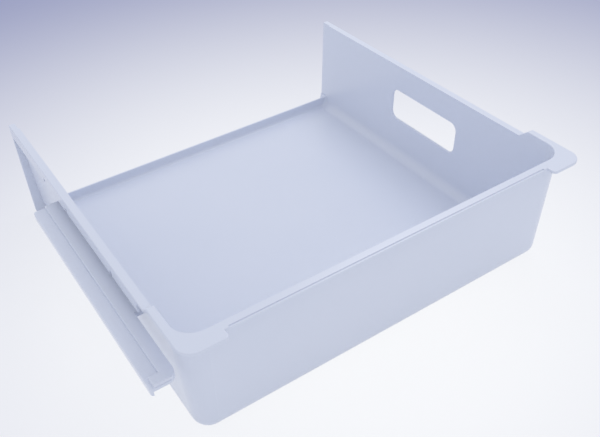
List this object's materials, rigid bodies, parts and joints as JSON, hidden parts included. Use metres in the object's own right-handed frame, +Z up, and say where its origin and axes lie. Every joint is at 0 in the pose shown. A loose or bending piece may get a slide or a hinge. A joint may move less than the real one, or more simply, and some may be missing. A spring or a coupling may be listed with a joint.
{
  "type": "freezer drawer",
  "caption": "Open white moulded freezer drawer: drafted tub with a tall rear wall and ears, low front lip, hand holes in its side walls and slide rails outside.",
  "frame": {"origin": "centre of the object's box, on the surface it stands on", "axes": "+X across the drawer from left rail to right rail, +Y towards the open front with the low lip, +Z up"},
  "size_m": [0.456, 0.404, 0.1225],
  "materials": {
    "white_polystyrene": "satin moulded, white"
  },
  "bodies": {
    "root": {"drawer_body": "white_polystyrene"}
  },
  "joints": []
}
